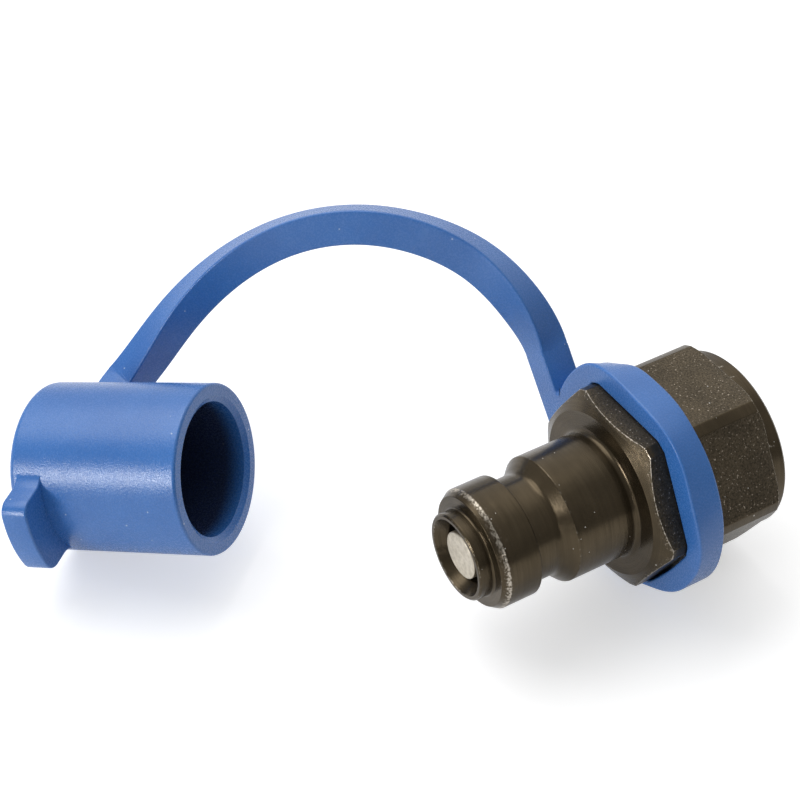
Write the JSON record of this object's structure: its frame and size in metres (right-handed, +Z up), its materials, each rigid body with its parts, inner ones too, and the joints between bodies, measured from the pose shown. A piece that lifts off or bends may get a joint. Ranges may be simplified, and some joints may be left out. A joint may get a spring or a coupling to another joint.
{
  "type": "quick release plug",
  "caption": "Valved plug half of a quick release hose coupling, with a hexagon body, a female rear port and a soft tethered dust cap.",
  "frame": {"origin": "on the axis of the rear port, at the inner end of the port's mouth chamfer, 45.55 mm behind the nose tip", "axes": "+X along the plug's axis from its nose to its rear port; +Z up, square to a flat of the hexagon; +Y across the corners, towards the side where the strap leaves the ring"},
  "size_m": [0.0971, 0.0827, 0.0425],
  "materials": {
    "dark_steel": "dark oxide over turned steel, worn bright at the edges",
    "blue_moulding": "soft matt vinyl moulding",
    "poppet_metal": "turned, satin",
    "seal_rubber": "smooth black",
    "spring_wire": "drawn wire",
    "guide_metal": "turned, satin"
  },
  "bodies": {
    "plug": {"plug_body": "dark_steel", "dust_cap": "blue_moulding", "valve_guide": "guide_metal", "snap_ring": "spring_wire", "valve_spring": "spring_wire"},
    "valve": {"poppet": "poppet_metal", "poppet_seal": "seal_rubber"}
  },
  "joints": [
    {"name": "poppet_slide", "type": "slide", "parent": "plug", "child": "valve", "axis": [1, 0, 0], "range_m": [0, 0.0045], "stiffness_N_per_m": 1500, "springref_m": -0.006, "deforming": ["valve_spring"]}
  ]
}
